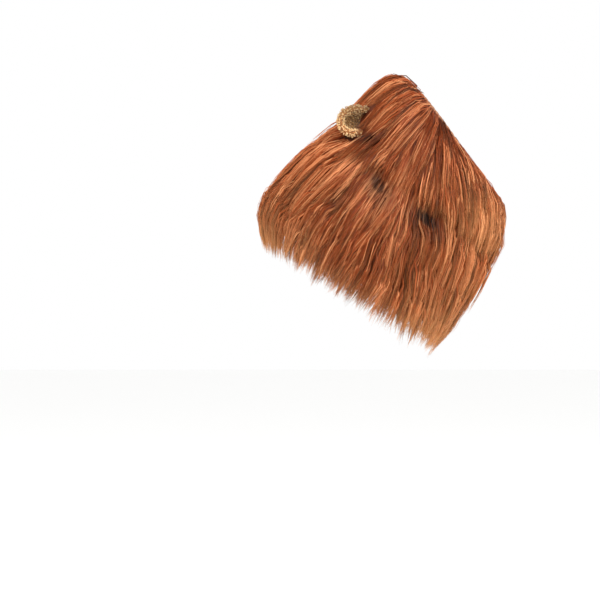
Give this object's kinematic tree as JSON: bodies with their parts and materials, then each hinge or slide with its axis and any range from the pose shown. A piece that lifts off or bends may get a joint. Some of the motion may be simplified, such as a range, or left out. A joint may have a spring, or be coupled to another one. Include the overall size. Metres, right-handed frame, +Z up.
{
  "type": "pet lion mane wig",
  "caption": "Slip-on costume wig for a large dog: a hooded mane of long synthetic fur with an elastic face opening and cupped plush ears.",
  "frame": {"origin": "inside of the hood at the crown, where the top of the wearer's head carries it", "axes": "+X the way the wearer faces, +Y the wearer's left, +Z up"},
  "size_m": [0.3841, 0.3292, 0.4285],
  "materials": {
    "knit_backing": "matte warp-knit polyester backing of faux fur",
    "hem_casing": "matte gathered elastic casing",
    "crown_pile": "long glossy synthetic fur, rust brown",
    "neck_pile": "long glossy synthetic fur, rust brown with tan tips",
    "ear_plush": "curly short tan plush",
    "ear_lining": "short brown plush"
  },
  "bodies": {
    "root": {"hood_backing": "knit_backing", "face_hem": "hem_casing", "crown_fur": "crown_pile", "neck_fur": "neck_pile", "ear_right_shell": "ear_plush", "ear_right_lining": "ear_lining", "ear_left_shell": "ear_plush", "ear_left_lining": "ear_lining"}
  },
  "joints": []
}
